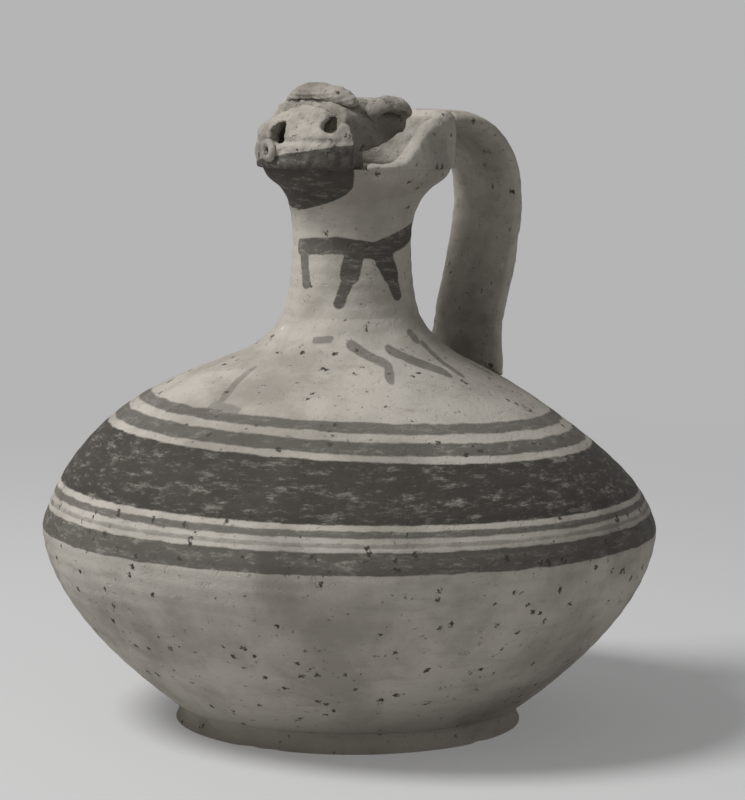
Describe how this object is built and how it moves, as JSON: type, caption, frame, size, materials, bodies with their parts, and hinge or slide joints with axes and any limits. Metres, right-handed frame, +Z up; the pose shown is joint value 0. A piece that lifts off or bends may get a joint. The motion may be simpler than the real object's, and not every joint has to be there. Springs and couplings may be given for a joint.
{
  "type": "jug",
  "caption": "Wide-bodied clay jug on a ring foot with a tall neck, a broad strap handle and a small hollow animal's head with a pouring hole.",
  "frame": {"origin": "centre of the foot's base, on the axis of the body", "axes": "+Z up, +X from the axis of the body towards the handle, so that the face looks to -X"},
  "size_m": [0.145, 0.145, 0.1499],
  "materials": {
    "bare_clay": "matt bare fired clay, chipped at the edge",
    "painted_clay": "matt pale surface with worn dark painted bands",
    "handle_clay": "matt pale surface, pitted",
    "head_clay": "matt pale surface, with dark paint on the jaw"
  },
  "bodies": {
    "root": {"foot_ring": "bare_clay", "body_bowl": "painted_clay", "body_shoulder": "painted_clay", "neck": "painted_clay", "rim_collar": "handle_clay", "handle_strap": "handle_clay", "face_mask": "head_clay", "head_vault": "head_clay", "brow_roll": "head_clay", "ear_near": "head_clay", "ear_far": "head_clay", "snout_ring": "head_clay"}
  },
  "joints": []
}
